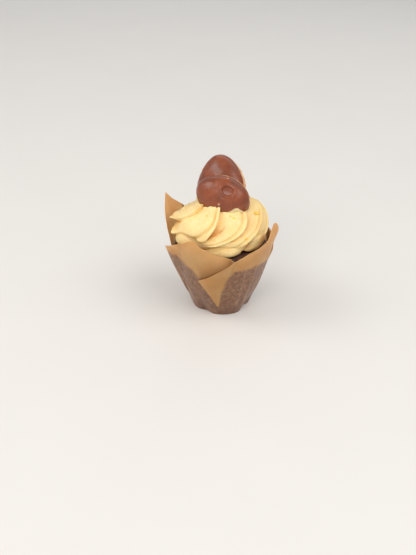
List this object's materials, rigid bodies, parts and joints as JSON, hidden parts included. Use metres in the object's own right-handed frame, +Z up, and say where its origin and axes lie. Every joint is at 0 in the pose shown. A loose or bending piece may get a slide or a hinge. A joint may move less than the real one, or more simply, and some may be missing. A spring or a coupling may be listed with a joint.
{
  "type": "cupcake",
  "caption": "Chocolate cupcake in a folded parchment tulip case, with a piped buttercream swirl and filled chocolate egg halves standing in it.",
  "frame": {"origin": "centre of the case's flat base, on the plate", "axes": "+Z up, +X to the right and +Y away from the viewer of the picture"},
  "size_m": [0.0953, 0.091, 0.1252],
  "materials": {
    "parchment": "matt baking parchment, darker where the cake has soaked it",
    "sponge": "open dark chocolate crumb",
    "buttercream": "soft satin buttercream",
    "chocolate": "smooth milk chocolate with a soft sheen",
    "filling": "soft caramel coloured filling"
  },
  "bodies": {
    "root": {"parchment_case": "parchment", "sponge": "sponge", "buttercream": "buttercream", "egg_shell_rear": "chocolate", "egg_filling_rear": "filling", "egg_shell_front": "chocolate", "egg_filling_front": "filling"}
  },
  "joints": []
}
